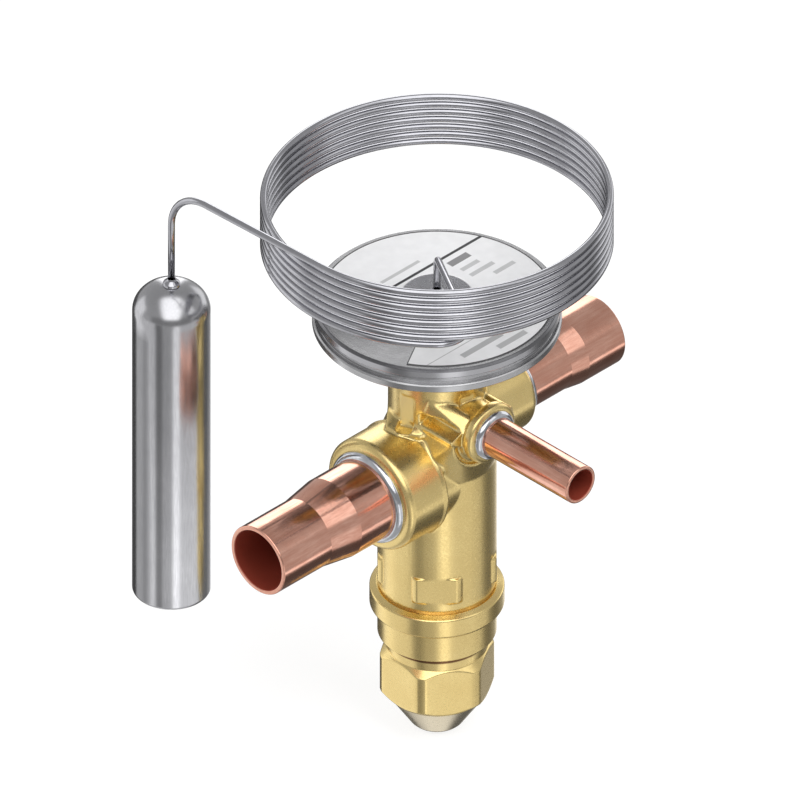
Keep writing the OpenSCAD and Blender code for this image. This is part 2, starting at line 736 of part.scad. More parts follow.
module upper_head_cover() {
    cavity_top = head_top - cover_wall - 0.5;
    color("silver") at_valve() difference() {
        turned([
            [0, cavity_top], [head_cavity_d / 2 - 1.5, cavity_top], [head_cavity_d / 2, cavity_top - 0.8],
            [head_cavity_d / 2, diaphragm_top], [seam_d / 2, diaphragm_top], [seam_d / 2, seam_top],
            [upper_rim_d / 2 - small_edge / 3, seam_top], [upper_rim_d / 2, seam_top + small_edge / 3],
            [upper_rim_d / 2, head_top - small_edge / 2], [upper_rim_d / 2 - small_edge / 2, head_top],
            [centre_disc_d / 2, head_top], [centre_disc_d / 2, disc_top - small_edge / 3],
            [centre_disc_d / 2 - small_edge / 3, disc_top], [0, disc_top]]);
        cylinder(d = capillary_d + 2 * sliding_gap, h = disc_top + through);
    }
}

module head_label() {
    reach = label_d;
    color("white") at_valve() translate([0, 0, head_top]) linear_extrude(label_thickness) difference() {
        circle(d = label_d);
        circle(d = centre_disc_d + 2 * sliding_gap);
        polygon([[0, 0], for (a = [bare_sector[0]:15:bare_sector[1]]) reach * [cos(a), sin(a)]]);
    }
}

// Capillary tube and bulb
module capillary_tube() {
    color("silver") at_valve() swept(capillary_route, capillary_d, capillary_sides);
}

module capillary_collar() {
    r = capillary_d / 2 + sliding_gap;
    turned([[r, 0], [r + 1, 0], [r + 0.9, 0.5], [r + 0.25, 1.1], [r + 0.1, 1.4], [r, 1.4]]);
}

module head_capillary_collar() {
    color("silver") at_valve() translate([0, 0, disc_top]) capillary_collar();
}

module bulb() {
    r = bulb_d / 2;
    foot = bulb_height - bulb_barrel;
    inner = r - bulb_wall;
    dome = [for (a = [84:-6:6]) [r * sin(a), bulb_height + bulb_dome * cos(a)]];
    color("silver") at_valve() translate([-bulb_left, bulb_back, 0]) difference() {
        union() {
            turned(concat([[0, foot + bulb_foot_edge], [r, foot + bulb_foot_edge], [r, bulb_height]],
                dome, [[0, bulb_top]]));
            translate([0, 0, foot]) rounded_disc(bulb_d, 0, 3 * bulb_foot_edge, bulb_foot_edge);
        }
        translate([0, 0, foot + bulb_wall]) cylinder(r = inner, h = bulb_barrel - bulb_wall);
        translate([0, 0, bulb_height - through]) cylinder(r1 = inner, r2 = 2, h = bulb_dome - bulb_wall);
        cylinder(d = capillary_d + 2 * sliding_gap, h = bulb_top + through);
    }
}

module bulb_capillary_collar() {
    color("silver") at_valve() translate([-bulb_left, bulb_back, bulb_top - sliding_gap])
        capillary_collar();
}

// Superheat spring and its setting parts
module superheat_spring() {
    turns = 7;
    dead = 1;
    steps = 18;
    low = spring_bottom + spring_wire / 2 + end_gap;
    high = spring_top - spring_wire / 2 - end_gap;
    dead_rise = 1.1 * spring_wire;
    live_rise = (high - low - 2 * dead_rise) / (turns - 2 * dead);
    function rise(t) = t < dead ? t * dead_rise
        : t > turns - dead ? high - low - (turns - t) * dead_rise : dead_rise + (t - dead) * live_rise;
    route = [for (i = [0:turns * steps]) let (t = i / steps)
        [spring_d / 2 * cos(360 * t), spring_d / 2 * sin(360 * t), low + rise(t)]];
    color("grey") at_valve() swept(route, spring_wire, 8);
}

module spring_seat() {
    plate_bottom = spring_bottom - seat_plate_height;
    key_length = chamber_d + 2 * key_depth - 2 * loose_gap;
    color("khaki") at_valve() difference() {
        union() {
            translate([0, 0, plate_bottom]) cylinder(d = chamber_d - 2 * loose_gap, h = seat_plate_height);
            translate([0, 0, spring_bottom])
                cylinder(d = spring_inside - 2 * loose_gap, h = seat_hub_height);
            translate([-key_length / 2, loose_gap - key_width / 2, plate_bottom])
                cube([key_length, key_width - 2 * loose_gap, seat_plate_height]);
        }
        translate([0, 0, plate_bottom - through])
            cylinder(d = spindle_d + 2 * thread_gap, h = seat_plate_height + seat_hub_height + 2 * through);
    }
}

module setting_spindle() {
    flange_top = flange_bottom + flange_height;
    spindle_top = spring_bottom + seat_hub_height + seat_travel + loose_gap;
    color("lightgrey") at_valve() difference() {
        union() {
            translate([0, 0, stem_bottom]) cylinder(d = stem_d, h = flange_bottom - stem_bottom);
            translate([0, 0, flange_bottom]) cylinder(d = flange_d, h = flange_height);
            translate([0, 0, flange_top]) cylinder(d = spindle_d, h = spindle_top - flange_top);
        }
        translate([-stem_d, -slot_width / 2, stem_bottom - through])
            cube([2 * stem_d, slot_width, slot_depth + through]);
    }
}

module spindle_o_ring() {
    color("black") at_valve() translate([0, 0, o_ring_height]) rotate_extrude()
        translate([stem_d / 2 + sliding_gap + o_ring_wire / 2, 0]) circle(d = o_ring_wire, $fn = 24);
}

module spindle_gland_nut() {
    color("goldenrod") at_valve() difference() {
        ring(gland_d, stem_d + 2 * sliding_gap, ring_bottom - gland_height, ring_bottom);
        translate([-gland_d, -slot_width / 2, ring_bottom - gland_height - through])
            cube([2 * gland_d, slot_width, slot_depth + through]);
    }
}

module setting_housing() {
    collar_r = collar_d / 2;
    ring_r = barrel_d / 2;
    bore = stem_d / 2 + sliding_gap;
    groove = bore + o_ring_wire;
    pocket = flange_d / 2 + loose_gap;
    groove_half = o_ring_wire / 2;
    color("goldenrod") at_valve() turned([
        [pocket, housing_spigot_top], [spigot_in_body_d / 2, housing_spigot_top],
        [spigot_in_body_d / 2, housing_top], [ring_r + loose_gap, housing_top],
        [collar_r, housing_top - chamfer], [collar_r, collar_bottom + chamfer],
        [collar_r - chamfer, collar_bottom], [ring_r, collar_bottom], [ring_r, ring_bottom],
        [cap_thread_d / 2, ring_bottom], [cap_thread_d / 2, thread_bottom + chamfer],
        [cap_thread_d / 2 - chamfer, thread_bottom], [gland_d / 2, thread_bottom],
        [gland_d / 2, ring_bottom], [bore, ring_bottom], [bore, o_ring_height - groove_half],
        [groove, o_ring_height - groove_half], [groove, o_ring_height + groove_half],
        [bore, o_ring_height + groove_half], [bore, flange_bottom - end_gap],
        [pocket, flange_bottom - end_gap]]);
}

module housing_washer() {
    color("chocolate") at_valve() ring(barrel_d - 2 * loose_gap, spigot_in_body_d,
        housing_top, -barrel_depth);
}

module cap_washer() {
    color("chocolate") at_valve() ring(cap_neck_d - 2 * loose_gap, cap_thread_d + 2 * thread_gap,
        cap_top, ring_bottom);
}

// Seal cap: hexagon with turned corners and a conical nose
module seal_cap() {
    neck_r = cap_neck_d / 2;
    corner_r = cap_corner_d / 2;
    foot_r = cap_flats / 2 - 0.5;
    color("goldenrod") at_valve() difference() {
        union() {
            translate([0, 0, hex_top - through]) cylinder(r = neck_r, h = cap_neck_height + through);
            intersection() {
                translate([0, 0, hex_bottom]) rotate(cap_face_turn - 30)
                    cylinder(d = cap_flats / cos(30), h = cap_hex_height, $fn = 6);
                turned([[0, hex_bottom], [foot_r, hex_bottom], [corner_r, hex_bottom + corner_drop],
                    [corner_r, hex_top - corner_drop], [neck_r, hex_top], [0, hex_top]]);
            }
            turned([[0, nose_tip], [cap_tip_d / 2 - chamfer, nose_tip], [cap_tip_d / 2, nose_tip + chamfer],
                [foot_r, hex_bottom], [0, hex_bottom]]);
        }
        translate([0, 0, thread_bottom - 0.8])
            cylinder(d = cap_thread_d + 2 * thread_gap, h = cap_top - thread_bottom + 0.8 + through);
        translate([0, 0, stem_bottom - 2]) cylinder(d = stem_d + 3, h = 5);
    }
}

valve_body();
inlet_tube();
outlet_tube();
equaliser_tube();
inlet_braze_ring();
outlet_braze_ring();
equaliser_braze_ring();
inlet_strainer();
orifice_seat();
valve_cone();
spring_guide();
push_rod();
push_rod_seal();
seal_retainer();
thrust_pad();
lower_head_cover();
diaphragm();
upper_head_cover();
head_label();
capillary_tube();
head_capillary_collar();
bulb();
bulb_capillary_collar();
superheat_spring();
spring_seat();
setting_spindle();
spindle_o_ring();
spindle_gland_nut();
setting_housing();
housing_washer();
cap_washer();
seal_cap();
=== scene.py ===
"""Looks of the thermostatic expansion valve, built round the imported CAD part. Metres, +Z up."""

import math

import bpy
import numpy as np
from mathutils import Matrix, Vector


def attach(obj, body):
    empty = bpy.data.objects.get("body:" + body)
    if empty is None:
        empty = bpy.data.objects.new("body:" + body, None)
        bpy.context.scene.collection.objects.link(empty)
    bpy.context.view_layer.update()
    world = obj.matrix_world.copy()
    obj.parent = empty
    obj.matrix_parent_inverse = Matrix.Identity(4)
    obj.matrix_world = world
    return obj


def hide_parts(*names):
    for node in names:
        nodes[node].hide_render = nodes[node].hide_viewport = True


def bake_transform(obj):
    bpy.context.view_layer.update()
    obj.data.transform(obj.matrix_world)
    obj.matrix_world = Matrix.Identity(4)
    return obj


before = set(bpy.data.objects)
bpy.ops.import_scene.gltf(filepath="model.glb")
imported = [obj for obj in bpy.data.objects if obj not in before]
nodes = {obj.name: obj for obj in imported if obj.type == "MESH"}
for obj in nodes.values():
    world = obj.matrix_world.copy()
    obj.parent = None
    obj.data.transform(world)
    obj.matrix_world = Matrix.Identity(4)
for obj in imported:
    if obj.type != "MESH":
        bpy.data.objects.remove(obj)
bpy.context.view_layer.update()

# Places and sizes in millimetres, the same as in the part's source
MM = 0.001
AXIS_X = 49.2
OUTLET_Z = 8.2
EQUALISER_Z = 13.1
FLOW_BORE_R = 6.4
EQUALISER_BORE_R = 3.2
HEAD_TOP = 37.6
DISC_TOP = 38.9
CAPILLARY_R = 0.7
CAPILLARY_HOLE_R = 0.75
BULB_LEFT = 35.1
BULB_BACK = 37.8
BULB_R = 7.67
BULB_TOP = 33.7
BULB_DOME = 6.15
BULB_FOOT = -32.6
NECK_FLAT_TURNS = (22, 68)
NECK_FLAT_OFF = 8.65
BARE_SECTOR = (150, 210)

# Places of the revolved pieces: each turns local +Z to the piece's own axis
QUARTER = math.radians(90)
AT_VALVE = Matrix.Translation((AXIS_X, 0, 0))
ALONG_INLET = AT_VALVE @ Matrix.Rotation(-QUARTER, 4, "Y")
AT_OUTLET = AT_VALVE @ Matrix.Translation((0, 0, OUTLET_Z))
ALONG_OUTLET = AT_OUTLET @ Matrix.Rotation(QUARTER, 4, "Y")
AT_EQUALISER = AT_VALVE @ Matrix.Translation((0, 0, EQUALISER_Z))
ALONG_EQUALISER = AT_EQUALISER @ Matrix.Rotation(QUARTER, 4, "X")
AT_BULB = Matrix.Translation((AXIS_X - BULB_LEFT, BULB_BACK, 0))


# Shader helpers
def connect(tree, value, socket):
    """Links the socket to another one, or writes a plain value into it."""
    if isinstance(value, bpy.types.NodeSocket):
        tree.links.new(value, socket)
    else:
        socket.default_value = value


def add(tree, kind, inputs=None, **settings):
    """New node. Inputs maps a socket's name or number to a value or to another socket."""
    made = tree.nodes.new("ShaderNode" + kind)
    for key, value in settings.items():
        setattr(made, key, value)
    for key, value in (inputs or {}).items():
        connect(tree, value, made.inputs[key])
    return made


def math_node(tree, operation, a, b=0.0):
    return add(tree, "Math", {0: a, 1: b}, operation=operation).outputs[0]


def times(tree, a, b):
    return math_node(tree, "MULTIPLY", a, b)


def vector_math(tree, operation, a, b):
    made = add(tree, "VectorMath", {0: a}, operation=operation)
    connect(tree, b, made.inputs["Scale" if operation == "SCALE" else 1])
    return made.outputs["Value" if operation in ("DOT_PRODUCT", "LENGTH") else "Vector"]


def span(tree, value, low, high, to_low, to_high, smooth=False):
    """The value mapped from one range to another and held at its ends."""
    return add(
        tree,
        "MapRange",
        {"Value": value, "From Min": low, "From Max": high, "To Min": to_low, "To Max": to_high},
        interpolation_type="SMOOTHSTEP" if smooth else "LINEAR",
    ).outputs["Result"]


def noise(tree, vector, scale, detail=2.0, roughness=0.5):
    return add(
        tree, "TexNoise", {"Vector": vector, "Scale": scale, "Detail": detail, "Roughness": roughness}
    ).outputs["Fac"]


# Numbers of the colour sockets of a Mix node
MIX_A, MIX_B, MIX_RESULT = 6, 7, 2


def mixed(tree, share, a, b):
    """Colour a where the share is 0 and b where it is 1."""
    return add(tree, "Mix", {0: share, MIX_A: a, MIX_B: b}, data_type="RGBA").outputs[MIX_RESULT]


def mixed_value(tree, share, a, b):
    return math_node(tree, "ADD", a, times(tree, share, math_node(tree, "SUBTRACT", b, a)))


def colour(red, green, blue):
    return (red, green, blue, 1.0)


def grey(level):
    return colour(level, level, level)


def new_material(name):
    """New material with its tree, its shader and the place of a point in millimetres."""
    material = bpy.data.materials.new(name)
    material.use_nodes = True
    tree = material.node_tree
    place = add(tree, "TexCoord").outputs["Object"]
    return material, tree, tree.nodes["Principled BSDF"], vector_math(tree, "SCALE", place, 1 / MM)


def from_point(tree, place, centre, keep=(1, 1, 0)):
    """Coordinates from a centre, and the distance from the axis through it (keep is 0 along that axis)."""
    moved = vector_math(tree, "SUBTRACT", place, centre)
    parts = add(tree, "SeparateXYZ", {0: moved})
    away = vector_math(tree, "LENGTH", vector_math(tree, "MULTIPLY", moved, keep), (0, 0, 0))
    return parts.outputs[0], parts.outputs[1], parts.outputs[2], away


def turning_vector(tree, place):
    """Vector that only changes with the height and the distance from the valve's axis."""
    _, _, height, radius = from_point(tree, place, (AXIS_X, 0, 0))
    return add(tree, "CombineXYZ", {0: radius, 1: height, 2: 0.0}).outputs[0]


def along_turn(tree, x, y, degrees):
    """Distance of a point from the centre, measured towards the turn."""
    angle = math.radians(degrees)
    across = times(tree, x, math.cos(angle))
    return math_node(tree, "ADD", across, times(tree, y, math.sin(angle)))


# Metal: slow clouds and fine grain mix two tones, and the grain sets the roughness
CLOUD_SCALE = 0.16
TONE_RANGE = (0.12, 0.42)
GRAIN_RANGE = (0.3, 0.7)


def metal(name, base, dark, rough, grain, bumps, stretch=(1, 1, 1), turned=False, patch=None):
    """Bare metal. Rough is (low, high); bumps is a list of (scale per mm, depth in mm, follows the grain).
    Patch changes the colour and the roughness of one area."""
    material, tree, shader, place = new_material(name)
    shader.inputs["Metallic"].default_value = 1.0
    along = turning_vector(tree, place) if turned else vector_math(tree, "MULTIPLY", place, stretch)
    cloud = noise(tree, place, CLOUD_SCALE, 3.0)
    fine = noise(tree, along, grain, 3.0, 0.6)
    tone = span(tree, times(tree, cloud, fine), *TONE_RANGE, 0.0, 1.0)
    paint = mixed(tree, tone, dark, base)
    matt = span(tree, fine, *GRAIN_RANGE, rough[1], rough[0])
    if patch:
        paint, matt = patch(tree, place, shader, paint, matt)
    tree.links.new(paint, shader.inputs["Base Color"])
    tree.links.new(matt, shader.inputs["Roughness"])
    normal = None
    for scale, depth, follows in bumps:
        height = noise(tree, along if follows else place, scale, 2.0, 0.55)
        inputs = {"Height": height, "Strength": 1.0, "Distance": depth * MM}
        if normal is not None:
            inputs["Normal"] = normal
        normal = add(tree, "Bump", inputs).outputs[0]
    if normal is not None:
        tree.links.new(normal, shader.inputs["Normal"])
    return material


# Patches of the metals
def flats_painted_highlight(tree, place, shader, paint, matt):
    """The four flats milled on the neck under the head are rougher than the rest of the body, and carry a
    painted highlight: a pale colour with a diffuse share that makes them read bright.
    """
    x, y, height, _ = from_point(tree, place, (AXIS_X, 0, 0))
    facing = add(tree, "NewGeometry").outputs["Normal"]
    shares = []
    for turn in NECK_FLAT_TURNS:
        way = (math.cos(math.radians(turn)), math.sin(math.radians(turn)), 0)
        depth = math_node(tree, "ABSOLUTE", along_turn(tree, x, y, turn))
        off = math_node(tree, "ABSOLUTE", math_node(tree, "SUBTRACT", depth, NECK_FLAT_OFF))
        near = span(tree, off, 0.15, 0.3, 1.0, 0.0)
        faces = math_node(tree, "ABSOLUTE", vector_math(tree, "DOT_PRODUCT", facing, way))
        shares.append(times(tree, near, span(tree, faces, 0.93, 0.98, 0.0, 1.0)))
    flat = math_node(tree, "MAXIMUM", shares[0], shares[1])
    mask = times(tree, flat, span(tree, height, 11.5, 12.5, 0.0, 1.0))
    # Painted highlight: the flats get a pale colour and a diffuse share, so that they read bright.
    tree.links.new(span(tree, mask, 0.0, 1.0, 1.0, 0.45), shader.inputs["Metallic"])
    return mixed(tree, mask, paint, colour(1.0, 0.84, 0.42)), mixed_value(tree, mask, matt, 0.4)


def cap_ends(tree, place, shader, paint, matt):
    """The cap's neck just under the housing's edge is painted dark brown, a painted shade for the groove
    there, and its turned nose is paler.
    """
    _, _, height, _ = from_point(tree, place, (AXIS_X, 0, 0))
    # Painted shade: the top of the cap's neck, in the groove under the housing, is darkened.
    shade_under_housing = span(tree, height, -42.35, -42.1, 0.0, 1.0)
    on_nose = span(tree, height, -54.95, -54.75, 1.0, 0.0)
    with_painted_shade = mixed(tree, shade_under_housing, paint, colour(0.2, 0.1, 0.05))
    return mixed(tree, on_nose, with_painted_shade, colour(0.9, 0.79, 0.58)), matt


def rim_painted_shade(tree, place, shader, paint, matt):
    """The upper cover's top corner is painted dark, and its side a little darker than its flat: painted shade
    that dims what they mirror.
    """
    _, _, height, radius = from_point(tree, place, (AXIS_X, 0, 0))
    # Painted shade on the cover's side and on its top corner.
    side = span(tree, radius, 23.95, 24.05, 0.0, 1.0)
    paint = mixed(tree, side, paint, colour(0.5, 0.5, 0.52))
    outside = span(tree, radius, 23.5, 23.65, 0.0, 1.0)
    corner = times(tree, outside, span(tree, height, 37.0, 37.15, 0.0, 1.0))
    return mixed(tree, corner, paint, colour(0.2, 0.2, 0.21)), matt


def bulb_darkening_and_painted_shade(tree, place, shader, paint, matt):
    """The bulb is darker towards its top, and along one band of its side it is painted dark: painted shade
    there.
    """
    x, y, height, away = from_point(tree, place, (AXIS_X - BULB_LEFT, BULB_BACK, 0))
    facing = math_node(tree, "DIVIDE", along_turn(tree, x, y, 169), math_node(tree, "MAXIMUM", away, 0.1))
    below_dome = span(tree, height, 30, 36, 1.0, 0.0)
    # Painted shade: a dark band down one side of the bulb's barrel.
    band = times(tree, span(tree, facing, 0.87, 0.98, 0.0, 0.75, True), below_dome)
    band = times(tree, band, span(tree, away, 7.0, 7.5, 0.0, 1.0))
    rising = span(tree, height, -30.0, 30.0, 0.0, 0.4, True)
    darkening = math_node(tree, "MAXIMUM", rising, band)
    return mixed(tree, darkening, paint, colour(0.12, 0.12, 0.125)), matt


def bore_painted_shade(centre, keep, bore):
    """Patch that makes the bore of a socket rougher and less metallic, and paints it dark red: painted shade
    for the dim light inside it.
    """

    def patch(tree, place, shader, paint, matt):
        away = from_point(tree, place, centre, keep)[3]
        # Painted shade: the dark red inside the bore.
        inside = span(tree, away, bore + 0.05, bore + 0.2, 1.0, 0.0)
        tree.links.new(span(tree, inside, 0.0, 1.0, 1.0, 0.3), shader.inputs["Metallic"])
        return mixed(tree, inside, paint, colour(0.34, 0.06, 0.035)), mixed_value(tree, inside, matt, 0.4)

    return patch


# Materials
BRASS = colour(0.96, 0.75, 0.33)
BRASS_DARK = colour(0.88, 0.67, 0.28)
STEEL = colour(0.6, 0.6, 0.61)
STEEL_DARK = colour(0.42, 0.42, 0.43)
FORGED_BUMPS = [(1.0, 0.009, False), (4.0, 0.002, False)]
TURNED_BUMPS = [(1.2, 0.01, False), (4.0, 0.003, False)]

forged_brass = metal(
    "forged_brass", BRASS, BRASS_DARK, (0.25, 0.33), 2.2, FORGED_BUMPS, patch=flats_painted_highlight
)
turned_brass = metal("turned_brass", BRASS, BRASS_DARK, (0.22, 0.3), 2.2, TURNED_BUMPS)
cap_brass = metal("cap_brass", BRASS, BRASS_DARK, (0.22, 0.3), 2.2, TURNED_BUMPS, patch=cap_ends)


def copper(name, stretch, centre, keep, bore):
    """Drawn copper, with its grain stretched along the tube."""
    return metal(
        name,
        colour(0.91, 0.52, 0.4),
        colour(0.74, 0.36, 0.26),
        (0.1, 0.18),
        2.0,
        [(0.5, 0.015, False), (3.0, 0.0015, True)],
        stretch=stretch,
        patch=bore_painted_shade(centre, keep, bore),
    )


copper_inlet = copper("copper_inlet", (0.1, 1, 1), (0, 0, 0), (0, 1, 1), FLOW_BORE_R)
copper_outlet = copper("copper_outlet", (0.1, 1, 1), (0, 0, OUTLET_Z), (0, 1, 1), FLOW_BORE_R)
copper_equaliser = copper(
    "copper_equaliser", (1, 0.1, 1), (AXIS_X, 0, EQUALISER_Z), (1, 0, 1), EQUALISER_BORE_R
)
washer_copper = metal(
    "washer_copper", colour(0.78, 0.56, 0.27), colour(0.6, 0.4, 0.19), (0.25, 0.35), 3.0,
    [(3.0, 0.004, False)],
)
braze_metal = metal(
    "braze_metal", colour(0.74, 0.76, 0.8), colour(0.6, 0.61, 0.65), (0.05, 0.09), 1.5,
    [(0.7, 0.03, False)],
)
head_steel = metal(
    "head_steel", STEEL, STEEL_DARK, (0.2, 0.3), 6.0, [(8.0, 0.004, True)], turned=True
)
upper_steel = metal(
    "upper_steel", STEEL, STEEL_DARK, (0.18, 0.26), 6.0, [(8.0, 0.002, True)],
    turned=True, patch=rim_painted_shade,
)
bulb_steel = metal(
    "bulb_steel", colour(0.8, 0.8, 0.83), colour(0.68, 0.68, 0.71), (0.17, 0.24), 4.0,
    [(4.0, 0.002, True)], stretch=(1, 1, 0.08), patch=bulb_darkening_and_painted_shade,
)
capillary_steel = metal(
    "capillary_steel", colour(0.5, 0.5, 0.53), colour(0.43, 0.43, 0.46), (0.09, 0.14), 2.0, []
)
inner_steel = metal(
    "inner_steel", colour(0.6, 0.6, 0.62), colour(0.45, 0.45, 0.47), (0.25, 0.35), 4.0,
    [(5.0, 0.004, False)],
)
inner_brass = metal(
    "inner_brass", BRASS, BRASS_DARK, (0.25, 0.35), 4.0, [(6.0, 0.004, True)], turned=True
)


def label_marks(tree, x, y, flat, radius):
    """Shares of ink: the chord lines, the borders, the sides of the bare sector and plain bars."""
    edge = 0.05

    def line(value, centre, half):
        away = math_node(tree, "ABSOLUTE", math_node(tree, "SUBTRACT", value, centre))
        return span(tree, away, half - edge, half + edge, 1.0, 0.0, True)

    def spoke(degrees):
        along, across = math.cos(math.radians(degrees)), math.sin(math.radians(degrees))
        towards = vector_math(tree, "DOT_PRODUCT", flat, (along, across, 0))
        off = vector_math(tree, "DOT_PRODUCT", flat, (-across, along, 0))
        return times(tree, line(off, 0.0, 0.2), math_node(tree, "GREATER_THAN", towards, 0.0))

    def bar(start, end, height, half, strength):
        length = (end - start) / 2
        away = math_node(tree, "ABSOLUTE", math_node(tree, "SUBTRACT", x, (start + end) / 2))
        reach = span(tree, away, length - 2 * edge, length + 2 * edge, strength, 0.0)
        return times(tree, line(y, height, half), reach)

    thick_chord, thin_chord = line(y, 8.8, 0.34), times(tree, line(y, -14.5, 0.1), 0.5)
    borders = [line(radius, 22.66, 0.16), line(radius, 7.3, 0.16)]
    bars = [
        bar(9.7, 15.0, 6.3, 0.85, 0.75),
        bar(10.1, 14.8, 3.4, 0.55, 0.4),
        bar(10.1, 16.4, 0.9, 0.55, 0.4),
        bar(14.0, 19.4, -1.8, 0.55, 0.4),
        bar(-3.9, 6.5, 11.4, 0.4, 0.4),
        bar(-10.3, 0.5, -17.2, 0.7, 0.5),
        bar(-3.2, 4.4, -20.0, 0.7, 0.45),
    ]
    return [thick_chord, thin_chord] + borders + [spoke(turn) for turn in BARE_SECTOR] + bars


def label_material():
    """Pale foil with plain bars and lines in the place of print."""
    material, tree, shader, place = new_material("label_foil")
    x, y, _, _ = from_point(tree, place, (AXIS_X, 0, 0))
    flat = add(tree, "CombineXYZ", {0: x, 1: y, 2: 0.0}).outputs[0]
    radius = vector_math(tree, "LENGTH", flat, (0, 0, 0))
    cloud = noise(tree, place, 0.4, 2.0)
    paper = mixed(tree, cloud, colour(0.74, 0.74, 0.75), colour(0.86, 0.86, 0.87))
    ink = 0.0
    for mark in label_marks(tree, x, y, flat, radius):
        ink = math_node(tree, "MAXIMUM", ink, mark)
    tree.links.new(mixed(tree, ink, paper, colour(0.02, 0.02, 0.022)), shader.inputs["Base Color"])
    shader.inputs["Roughness"].default_value = 0.32
    shader.inputs["Metallic"].default_value = 0.0
    return material


def rubber_material():
    material, tree, shader, place = new_material("seal_rubber")
    paint = mixed(tree, noise(tree, place, 2.0), grey(0.012), grey(0.03))
    tree.links.new(paint, shader.inputs["Base Color"])
    shader.inputs["Roughness"].default_value = 0.6
    return material


label_foil = label_material()
seal_rubber = rubber_material()

# Mesh helpers
LONGEST_REACH = 0.45
SUPPORT_OFF = 0.04
SUPPORTED_GAP = 0.2


def corner_arc(point, before, after, wanted, steps):
    """Points of the arc that rounds one corner, or the corner itself where nothing is to be rounded."""
    a, b = before - point, after - point
    length_a, length_b = np.linalg.norm(a), np.linalg.norm(b)
    a, b = a / length_a, b / length_b
    turn = math.acos(max(-1.0, min(1.0, float(a @ b))))
    if wanted <= 0 or turn > math.radians(178) or point[0] <= 1e-6:
        return [point]
    reach = min(wanted / math.tan(turn / 2), LONGEST_REACH * length_a, LONGEST_REACH * length_b)
    radius = reach * math.tan(turn / 2)
    middle = point + (a + b) / np.linalg.norm(a + b) * (radius / math.sin(turn / 2))
    start, end = point + a * reach - middle, point + b * reach - middle
    sweep = math.pi - turn
    arc = []
    for step in range(steps + 1):
        share = step / steps
        toward = math.sin((1 - share) * sweep) * start + math.sin(share * sweep) * end
        arc.append(middle + toward / math.sin(sweep))
    return arc


def rounded(outline, steps=5):
    """Closed outline of (radius, height, corner round) with its corners turned to arcs.
    Each straight stretch gets a point close to both ends, which keeps its shading flat."""
    corners = [np.array(corner[:2], float) for corner in outline]
    count = len(outline)
    arcs = []
    for i, corner in enumerate(corners):
        arcs.append(corner_arc(corner, corners[i - 1], corners[(i + 1) % count], outline[i][2], steps))
    points = []
    for i, arc in enumerate(arcs):
        following = arcs[(i + 1) % count][0]
        points += arc
        gap = following - arc[-1]
        length = np.linalg.norm(gap)
        if length > SUPPORTED_GAP:
            off = gap / length * SUPPORT_OFF
            points += [arc[-1] + off, following - off]
    return [(float(point[0]), float(point[1])) for point in points]


def placed(name, mesh):
    made = bpy.data.objects.new(name, mesh)
    bpy.context.scene.collection.objects.link(made)
    return made


def mesh_object(name, verts, faces, material, smooth=True):
    mesh = bpy.data.meshes.new(name)
    mesh.from_pydata([tuple(vert) for vert in verts], [], [tuple(face) for face in faces])
    mesh.validate()
    mesh.materials.append(material)
    if smooth:
        mesh.shade_smooth()
    return placed(name, mesh)


def outward(piece):
    """Turns the faces so that the closed mesh has a positive volume."""
    mesh = piece.data
    mesh.calc_loop_triangles()
    points = np.array([vert.co for vert in mesh.vertices])
    corners = points[np.array([triangle.vertices for triangle in mesh.loop_triangles])]
    if np.einsum("ij,ij->i", corners[:, 0], np.cross(corners[:, 1], corners[:, 2])).sum() < 0:
        mesh.flip_normals()


def ring_faces(ring, after, segments):
    """Faces between two rings of a lathe. A ring of one point is a pole on the axis."""
    if len(ring) == 1 and len(after) == 1:
        return []
    faces = []
    for k in range(segments):
        following = (k + 1) % segments
        if len(ring) == 1:
            faces.append((ring[0], after[k], after[following]))
        elif len(after) == 1:
            faces.append((ring[k], after[0], ring[following]))
        else:
            faces.append((ring[k], after[k], after[following], ring[following]))
    return faces


def lathe(name, points, place, material, segments=160, reshape=None):
    """Solid of revolution of a closed run of (radius, height) points in millimetres."""
    verts, rings = [], []
    for radius, height in points:
        if radius < 1e-5:
            rings.append([len(verts)])
            verts.append((0, 0, height))
            continue
        ring = []
        for k in range(segments):
            angle = 2 * math.pi * k / segments
            reach = reshape(radius, height, angle) if reshape else radius
            ring.append(len(verts))
            verts.append((reach * math.cos(angle), reach * math.sin(angle), height))
        rings.append(ring)
    faces = []
    for i, ring in enumerate(rings):
        faces += ring_faces(ring, rings[(i + 1) % len(rings)], segments)
    points_there = np.array(verts) @ np.array(place.to_3x3()).T + np.array(place.translation)
    made = mesh_object(name, points_there * MM, faces, material)
    outward(made)
    return made


def swept(name, points, radius, sides, material):
    """Round tube or wire along points in millimetres from the valve's axis."""
    tangents = np.gradient(points, axis=0)
    tangents /= np.linalg.norm(tangents, axis=1)[:, None]
    across = np.array([1.0, 0.3, 0.2])
    verts, faces = [], []
    for point, tangent in zip(points, tangents):
        across = across - (across @ tangent) * tangent
        across /= np.linalg.norm(across)
        beside = np.cross(tangent, across)
        for k in range(sides):
            angle = 2 * math.pi * k / sides
            off = radius * (math.cos(angle) * across + math.sin(angle) * beside)
            verts.append((point + off + (AXIS_X, 0, 0)) * MM)
    rows = len(points)
    for i in range(rows - 1):
        for k in range(sides):
            low, high, following = i * sides, (i + 1) * sides, (k + 1) % sides
            faces.append((low + k, low + following, high + following, high + k))
    faces.append(tuple(range(sides - 1, -1, -1)))
    faces.append(tuple((rows - 1) * sides + k for k in range(sides)))
    made = mesh_object(name, verts, faces, material)
    outward(made)
    return made


def stands_for(piece, node, body="valve"):
    """Puts the piece in the place of a node and on its body."""
    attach(piece, body)
    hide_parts(node)


def keep_node(node, material):
    nodes[node].data.materials.clear()
    nodes[node].data.materials.append(material)


